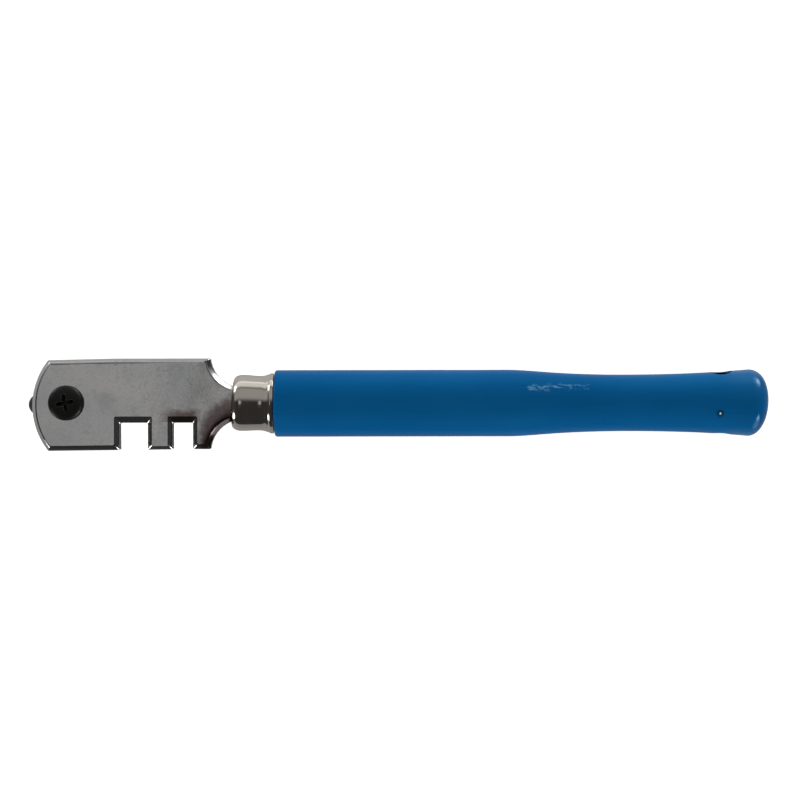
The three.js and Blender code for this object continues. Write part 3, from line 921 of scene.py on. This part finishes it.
def cutting_wheel(number, place):
    """A hard steel wheel: flat sides, broken edges and a sharp rim of two bevels."""
    side = [
        (0, WHEEL_RADIUS), (WHEEL_HALF - WHEEL_LIP, WHEEL_SHOULDER_RADIUS + WHEEL_SHOULDER_EASE),
        (WHEEL_HALF, WHEEL_SHOULDER_RADIUS - 0.5 * WHEEL_LIP),
        (WHEEL_HALF, WHEEL_BORE_RADIUS + WHEEL_LIP), (WHEEL_HALF - WHEEL_LIP, WHEEL_BORE_RADIUS),
    ]
    profile = side + [(-along, radius) for along, radius in reversed(side[1:])]
    wheel = turned(f"wheel_{number}", profile, 64, "Z", place)
    return fitted(wheel, f"wheel_{number}", "wheel_steel", f"cutting_wheel_{number}")


# ---------------- screw

SCREW_SEGMENTS = 72
THREAD_STEPS = 10
THREAD_STEEPNESS = 1.25
THREAD_LOW = SCREW_LOW.z + 0.12 * MM
THREAD_HIGH = SCREW_HIGH.z - SCREW_HEAD_HEIGHT - 0.4 * MM
TIP_CHAMFER = 0.1 * MM
SEAT_CHAMFER = 0.08 * MM


def recess_blade(turn):
    """One blade of the cross recess, as a wedge that narrows towards its floor."""
    points = []
    for height, share in ((-RECESS_DEPTH, RECESS_TAPER), (RECESS_DEPTH, 2 - RECESS_TAPER)):
        for sx, sy in ((1, 1), (-1, 1), (-1, -1), (1, -1)):
            points.append((sx * share * RECESS_SPAN / 2, sy * share * RECESS_WIDTH / 2, height))
    faces = [(0, 1, 2, 3), (4, 5, 6, 7), (0, 1, 5, 4), (1, 2, 6, 5), (2, 3, 7, 6), (3, 0, 4, 7)]
    blade = with_bmesh(mesh_object("blade", points, faces), face_out)
    return moved(blade, Matrix.Translation((0, 0, SCREW_HIGH.z)) @ Matrix.Rotation(turn, 4, "Z"))


def screw_profile():
    """Half section of the screw without its thread: shank, straight rim, domed top."""
    tip, top = SCREW_LOW.z, SCREW_HIGH.z
    seat = top - SCREW_HEAD_HEIGHT
    rise = THREAD_PITCH / THREAD_STEPS
    core = SCREW_SHANK_RADIUS - THREAD_DEPTH
    profile = [(tip, 0), (tip, core - TIP_CHAMFER), (tip + TIP_CHAMFER, core)]
    turns = int((seat - tip - 0.5 * MM) / rise)
    first = tip + 1.5 * TIP_CHAMFER
    profile += [(first + k * rise, SCREW_SHANK_RADIUS) for k in range(turns)]
    profile += [(seat, SCREW_SHANK_RADIUS), (seat, SCREW_HEAD_RADIUS - SEAT_CHAMFER)]
    profile += [(seat + SEAT_CHAMFER, SCREW_HEAD_RADIUS), (seat + SCREW_RIM_HEIGHT, SCREW_HEAD_RADIUS)]
    over_rim = (top - 0.2 * MM, SCREW_HEAD_RADIUS)
    return profile + bezier(profile[-1], over_rim, (top, 0.6 * SCREW_HEAD_RADIUS), (top, 0), 16)


def threaded(local):
    """Pulls a point of the shank in to a helical thread that runs out under the head."""
    if not THREAD_LOW < local.z < THREAD_HIGH:
        return local
    phase = (local.z / THREAD_PITCH - math.atan2(local.y, local.x) / (2 * math.pi)) % 1
    valley = min(1.0, abs(2 * phase - 1) * THREAD_STEEPNESS)
    fade = min(1.0, (THREAD_HIGH - local.z) / THREAD_PITCH)
    share = 1 - valley * fade * THREAD_DEPTH / SCREW_SHANK_RADIUS
    return Vector((local.x * share, local.y * share, local.z))


def screw():
    """Pan head with a cross recess over a shank with a real helical thread."""
    body = turned("screw_body", screw_profile(), SCREW_SEGMENTS, "Z", Vector(), threaded)
    combined(body, [recess_blade(RECESS_TURN), recess_blade(RECESS_TURN + math.pi / 2)])
    moved(body, Matrix.Translation((TURRET_CENTRE.x, TURRET_CENTRE.y, 0)))
    return fitted(body, "screw", "black_screw", "turret_screw")


# ---------------- ferrule

FERRULE_SHIFT = 0.15 * MM
FERRULE_CURL = 0.56
FERRULE_RUN = 0.45


def ferrule_outside():
    """The cup's outer line from its mouth over bead, waist and flare to its rear edge."""
    front, rear = FERRULE_LOW.x, FERRULE_HIGH.x
    flare = (FERRULE_HIGH.y - FERRULE_LOW.y) / 2
    mouth = (front, FERRULE_MOUTH_RADIUS + 0.5 * FERRULE_WALL)
    bead = (FERRULE_BEAD_X, FERRULE_BEAD_RADIUS)
    rolled = (front, mouth[1] + FERRULE_CURL * (bead[1] - mouth[1]))
    outside = [(front + 0.12 * MM, FERRULE_MOUTH_RADIUS), mouth]
    outside += bezier(mouth, rolled, (bead[0] - FERRULE_CURL * (bead[0] - front), bead[1]), bead, 12)
    waist = (FERRULE_WAIST_X, FERRULE_WAIST_RADIUS)
    run = FERRULE_RUN * (waist[0] - bead[0])
    outside += bezier(bead, (bead[0] + run, bead[1]), (waist[0] - run, waist[1]), waist, 8)
    foot = (rear - 0.95 * MM, flare - 0.2 * MM)
    leaving = (foot[0] - 0.5 * MM, foot[1] - 0.06 * MM)
    outside += bezier(waist, (FERRULE_FLARE_X, waist[1]), leaving, foot, 10)
    lip = (foot[0] + 0.4 * MM, flare)
    outside += bezier(foot, (foot[0] + 0.12 * MM, foot[1]), (lip[0] - 0.2 * MM, flare), lip, 8)
    edge = [(rear - 0.06 * MM, flare - 0.05 * MM), (rear, flare - 0.15 * MM)]
    return outside + [(rear - 0.25 * MM, flare)] + edge


def ferrule_inside(outside):
    """The lining, one wall inside the outer line, from the rear edge back to the mouth."""
    rear = outside[-1][0]
    flare = max(radius for _, radius in outside)
    inside = [(rear, flare - 0.75 * FERRULE_WALL), (rear - 0.1 * MM, flare - FERRULE_WALL)]
    for along, radius in reversed(outside[6:-3]):
        lining = max(radius - FERRULE_WALL, FERRULE_MOUTH_RADIUS)
        inside.append((max(along, FERRULE_LOW.x + FERRULE_WALL), lining))
    return inside


def askew(local):
    """Moves a point of the ferrule as its mouth is pulled askew: the more, the nearer."""
    share = (FERRULE_HIGH.x - local.x) / (FERRULE_HIGH.x - FERRULE_LOW.x)
    x = local.x + share * FERRULE_SKEW * local.y + FERRULE_SHIFT * share
    return Vector((x, local.y + share * FERRULE_LIFT, local.z))


def ferrule():
    """A thin pressed cup, its rolled mouth pulled slightly askew on the neck."""
    outside = ferrule_outside()
    profile = outside + ferrule_inside(outside)
    cup = turned("ferrule_cup", profile, 128, "X", Vector((0, 0, AXIS_Z)), askew)
    return fitted(with_bmesh(cup, merge_points), "tool", "ferrule_nickel", "ferrule")


# ---------------- handle

HANDLE_SEGMENTS = 160
WAVINESS = 0.02 * MM
WAVE_LENGTH = 9 * MM
END_SKEW_X = (60 * MM, 64.5 * MM)
END_SKEW = 0.045
END_TRIM = 0.2 * MM
SPIGOT_EASE = 0.1 * MM
GRIP_STEPS = 40
CURVE_STEPS = 28
GRIP_RUN = 5 * MM
WAIST_RUN = 12.3 * MM
KNOB_RUN = 9 * MM
KNOB_APPROACH = 7 * MM
KNOB_ROUND = 2.2 * MM
KNOB_END_SHARE = 0.62
HOLE_MOUTH_LIP = 0.12 * MM
HOLE_MOUTH_REACH = 5.3 * MM
HOLE_CUT_REACH = 8 * MM
NIB_WIDTH = 0.36 * MM
NIB_HEIGHT = 0.26 * MM
NIB_ROOT = 0.4 * MM
NIB_SINK = 0.03 * MM
NIB_STEPS = 8


def handle_profile():
    """Half section of the handle: tang bore, spigot, grip, waist, knob and its round end."""
    start, edge = GRIP_START_X, GRIP_EDGE_RADIUS
    spigot = HANDLE_LOW.x
    profile = line_profile([
        (TANG_BORE_END_X, 0), (TANG_BORE_END_X, TANG_BORE_RADIUS), (spigot, TANG_BORE_RADIUS),
        (spigot, SPIGOT_RADIUS), (start, SPIGOT_RADIUS), (start, GRIP_RADIUS - edge),
    ], SPIGOT_EASE)
    grip = (start + edge, GRIP_RADIUS)
    rising = (start, GRIP_RADIUS - 0.45 * edge)
    profile += bezier(profile[-1], rising, (start + 0.45 * edge, GRIP_RADIUS), grip, 6)
    length = GRIP_END_X - grip[0]
    profile += [(grip[0] + length * k / GRIP_STEPS, GRIP_RADIUS) for k in range(1, GRIP_STEPS + 1)]
    waist, before_waist = (WAIST_X, WAIST_RADIUS), (WAIST_X - WAIST_RUN, WAIST_RADIUS)
    past_grip = (GRIP_END_X + GRIP_RUN, GRIP_RADIUS)
    profile += bezier(profile[-1], past_grip, before_waist, waist, CURVE_STEPS)
    widest, past_waist = (KNOB_WIDEST_X, KNOB_RADIUS), (WAIST_X + KNOB_RUN, WAIST_RADIUS)
    approach = (KNOB_WIDEST_X - KNOB_APPROACH, KNOB_RADIUS - KNOB_APPROACH * KNOB_SLOPE)
    profile += bezier(waist, past_waist, approach, widest, CURVE_STEPS)
    round_off = (KNOB_WIDEST_X + KNOB_ROUND, KNOB_RADIUS)
    beside_end = (HANDLE_HIGH.x, KNOB_END_SHARE * KNOB_RADIUS)
    return profile + bezier(widest, round_off, beside_end, (HANDLE_HIGH.x, 0), 24)


def end_skew(local):
    """How far a point of the knob's end moves along X: the end is sanded slightly askew."""
    return smoothly(local.x, *END_SKEW_X) * (END_SKEW * local.y - END_TRIM)


def hand_turned(local):
    """Moves a skin point in by a little, as a hand-held tool leaves the wood."""
    from_axis = local.yz.length
    in_bore = from_axis < TANG_BORE_RADIUS + MERGE and local.x < WAIST_X
    if local.x < GRIP_START_X + GRIP_EDGE_RADIUS or in_bore:
        return local
    if from_axis < MERGE:
        return Vector((local.x + end_skew(local), 0, 0))
    ripple = noise.noise(local / WAVE_LENGTH) - 1
    share = 1 + WAVINESS * ripple / from_axis
    return Vector((local.x + end_skew(local), local.y * share, local.z * share))


def hang_hole_cutter():
    """The cross hole, its mouths softened by the paint."""
    lip, surface, mouth = HOLE_MOUTH_LIP, HOLE_MOUTH_REACH, HANG_HOLE_RADIUS + HOLE_MOUTH_LIP
    side = [(surface - 3 * lip, HANG_HOLE_RADIUS), (surface - lip, HANG_HOLE_RADIUS + 0.3 * lip)]
    side += [(surface, mouth), (HOLE_CUT_REACH, mouth), (HOLE_CUT_REACH, 0)]
    profile = [(-along, radius) for along, radius in reversed(side)] + side
    cutter = turned("hole_cutter", profile, 64, "Z", Vector())
    upright = Matrix.Rotation(HANG_HOLE_TILT - math.pi / 2, 4, "X")
    return moved(cutter, Matrix.Translation((HANG_HOLE_X, 0, 0)) @ upright)


def paint_nib(surface_radius):
    """A small blob of paint that dried standing up."""
    profile = [(-NIB_ROOT, 0), (-NIB_ROOT, NIB_WIDTH)]
    for k in range(NIB_STEPS):
        turn = 0.5 * math.pi * k / NIB_STEPS
        profile.append((NIB_HEIGHT * math.sin(turn), NIB_WIDTH * math.cos(turn)))
    profile.append((NIB_HEIGHT, 0))
    blob = turned("nib", profile, 20, "Z", Vector())
    lean = math.asin(NIB_Y / surface_radius)
    foot = Vector((NIB_X, NIB_Y, surface_radius * math.cos(lean)))
    return moved(blob, Matrix.Translation(foot) @ Matrix.Rotation(-lean, 4, "X"))


def handle():
    """The painted wood: turned, drilled across the knob, with the nib of paint on it."""
    profile = handle_profile()
    body = turned("handle_body", profile, HANDLE_SEGMENTS, "X", Vector(), hand_turned)
    combined(body, [hang_hole_cutter()])
    near_nib = min(profile, key=lambda point: abs(point[0] - NIB_X))
    combined(body, [paint_nib(near_nib[1] - NIB_SINK)], "UNION")
    moved(body, Matrix.Translation((0, 0, AXIS_Z)))
    return fitted(body, "tool", "handle_paint", "handle")


# ---------------- surroundings

FLOOR_HALF = 1.5
FLOOR_GAP = 0.02 * MM
CAMERA_PLACE = (0.26 * MM, 0.57 * MM, 353 * MM)
CAMERA_LENS = 88.9
CAMERA_SENSOR = 36
CAMERA_ROLL = math.radians(-0.1)

TABLE_NEAR_LIGHT = 0.29
TABLE_FAR_LIGHT = 0.58
TABLE_IN_SHADOW = 0.2
TABLE_PAST_KNOB = 0.3
TABLE_EDGE_DIP = 0.12
SOFTBOX_LIGHT = 0.82
SHOULDER_LIGHT = 0.33
OVERHEAD_LEFT_LIGHT = 0.385
OVERHEAD_RIGHT_LIGHT = 0.53
SHADE_LIGHT = 0.035
WARM_LIGHT = 0.05
END_LIGHT = 0.015
BACKDROP_LIGHT = 0.92
WARM_TINT = (1.0, 0.62, 0.6)

# Where each patch of light starts, is full, fades and ends: degrees from straight up,
# towards +X and towards +Y
BESIDE_LEAN_X = (-70, -45, 45, 70)
SHOULDER_LEAN_Y = (3, 26, 60, 66)
SOFTBOX_LEAN_Y = (61, 78, 95, 103)
OVERHEAD_LEAN_X = (-18, -13, -5.5, -5.0)
OVERHEAD_LEAN_Y = (-8, -2, 6, 13)
WARM_LEAN_Y = (-24, -10, -7, -3)

# Where one tone gives way to the next: in degrees, then in parts of the direction
OVERHEAD_CHANGE_LEAN = (-10, -6)
ENDS_LEAN = (30, 60)
TABLE_EDGE_Z = (-0.02, -0.12)
TABLE_SHADOW_Z = (-0.985, -0.865)
PAST_KNOB_X = (0.3, 0.8)

# Each lamp: azimuth from +X towards +Y, elevation and half width in degrees, radiance
LAMPS = [
    (138, 4, 10, 6),
    (218, 8, 10, 8),
    (56, 0, 19, 1.8),
    (-53, 0, 20, 1.8),
    (51, -3, 9, 9),
    (-41, 11, 8, 11),
    (100, -85.5, 6, 1.5),
    (-100, -85.5, 6, 1.5),
]
LAMP_EDGE = 2


def floor():
    """The paper under the tool: the camera sees it, but it gives no light and no shadow."""
    low, high, z = -FLOOR_HALF, FLOOR_HALF, -FLOOR_GAP
    corners = [(low, low, z), (high, low, z), (high, high, z), (low, high, z)]
    sheet = mesh_object("floor", corners, [(0, 1, 2, 3)])
    sheet.data.materials.append(pale_floor())
    sheet.visible_glossy = False
    sheet.visible_diffuse = False
    sheet.visible_shadow = False


def lamp_glow(n, direction, azimuth, elevation, half_width, radiance):
    """A round bright patch of sky around one direction."""
    az, el = math.radians(azimuth), math.radians(elevation)
    towards = (math.cos(el) * math.cos(az), math.cos(el) * math.sin(az), math.sin(el))
    closeness = n.vector("DOT_PRODUCT", direction, towards)
    outer = math.cos(math.radians(half_width + LAMP_EDGE))
    inner = math.cos(math.radians(max(half_width - LAMP_EDGE, 0.5)))
    return n.product(n.ramp(closeness, outer, inner), radiance)


def table_glow(n, x, y, z):
    """The table below the horizon, by the direction's parts: brighter beyond the tool, dim
    right under it and past the knob."""
    dip = n.product(n.span(n.math("SUBTRACT", x, y), 0, 1), TABLE_EDGE_DIP)
    below = n.ramp(n.math("ADD", z, dip), *TABLE_EDGE_Z)
    tone = n.span(y, -1, 1, TABLE_NEAR_LIGHT, TABLE_FAR_LIGHT)
    shaded = n.span(z, *TABLE_SHADOW_Z, TABLE_IN_SHADOW, 1.0, "SMOOTHSTEP")
    past_knob = n.span(x, *PAST_KNOB_X, 1.0, TABLE_PAST_KNOB, "SMOOTHSTEP")
    return n.product(below, tone, shaded, past_knob)


def studio_light(n, direction):
    """Grey light by direction, and how much warm light there is besides."""
    x, y, z = n.parts(direction)
    lean_x = n.product(n.math("ARCSINE", x), 180 / math.pi)
    lean_y = n.product(n.math("ARCTAN2", y, z), 180 / math.pi)
    beside = n.band(lean_x, *BESIDE_LEAN_X)
    shoulder = n.product(n.band(lean_y, *SHOULDER_LEAN_Y), beside, SHOULDER_LIGHT)
    softbox = n.product(n.band(lean_y, *SOFTBOX_LEAN_Y), beside, SOFTBOX_LIGHT)
    tone = n.span(lean_x, *OVERHEAD_CHANGE_LEAN, OVERHEAD_LEFT_LIGHT, OVERHEAD_RIGHT_LIGHT)
    over_head = n.band(lean_x, *OVERHEAD_LEAN_X)
    overhead = n.product(over_head, n.band(lean_y, *OVERHEAD_LEAN_Y), tone)
    warm = n.product(over_head, n.band(lean_y, *WARM_LEAN_Y), WARM_LIGHT)
    ends = n.product(n.ramp(n.math("ABSOLUTE", lean_x), *ENDS_LEAN), END_LIGHT)
    total = n.math("MAXIMUM", table_glow(n, x, y, z), n.math("ADD", ends, SHADE_LIGHT))
    for part in (shoulder, softbox, overhead):
        total = n.math("ADD", total, part)
    for lamp in LAMPS:
        total = n.math("ADD", total, lamp_glow(n, direction, *lamp))
    return total, warm


def tinted(n, strength, colour):
    """strength, which may be over 1, times a colour."""
    mix = n.node("VectorMath", operation="SCALE")
    mix.inputs[0].default_value = colour
    n.feed(strength, mix.inputs["Scale"])
    return mix.outputs["Vector"]


def studio():
    """What the tool reflects: a long softbox beyond its straight edge, a grey ceiling
    that ends over the head, darkness on the near side, a table below, and small lamps."""
    world = bpy.data.worlds.new("studio")
    bpy.context.scene.world = world
    world.use_nodes = True
    n = Nodes(world.node_tree)
    total, warm = studio_light(n, n.node("TexCoord").outputs["Generated"])
    both = n.vector("ADD", tinted(n, total, (1, 1, 1)), tinted(n, warm, WARM_TINT))
    seen = n.node("LightPath").outputs["Is Camera Ray"]
    backdrop = n.blend(seen, both, grey(BACKDROP_LIGHT))
    n.feed(backdrop, n.nodes["Background"].inputs["Color"])


def diffuse_panel(name, place, size, power):
    """A soft light towards the origin that brightens paint but isn't seen in reflections."""
    data = bpy.data.lights.new(name, "AREA")
    data.shape = "RECTANGLE"
    data.size, data.size_y = size
    data.energy = power
    lamp = in_scene(name, data)
    lamp.location = place
    lamp.rotation_euler = (Vector() - Vector(place)).to_track_quat("-Z", "Y").to_euler()
    lamp.visible_glossy = False
    lamp.visible_camera = False


def lights():
    """Long panels beyond and before the tool, and a small one over the head."""
    diffuse_panel("panel_far", (0, 0.9, 0.5), (1.4, 0.5), 2.7)
    diffuse_panel("panel_near", (0, -0.9, 0.5), (1.4, 0.5), 4.1)
    diffuse_panel("panel_top", (-0.12, 0, 0.42), (0.3, 0.3), 0.14)


def camera():
    """Looks straight down at the tool, with +X to the right."""
    data = bpy.data.cameras.new("camera")
    data.lens = CAMERA_LENS
    data.sensor_width = CAMERA_SENSOR
    data.clip_start = 0.01
    view = in_scene("camera", data)
    view.location = CAMERA_PLACE
    view.rotation_euler = (0, 0, CAMERA_ROLL)
    bpy.context.scene.camera = view


# ---------------- the whole scene

head()
turret()
for index, wheel_place in enumerate(WHEEL_PLACES):
    wheel_pin(index + 1, wheel_place)
    cutting_wheel(index + 1, wheel_place)
screw()
ferrule()
handle()
floor()
studio()
lights()
camera()
bpy.context.scene.view_settings.view_transform = "Standard"
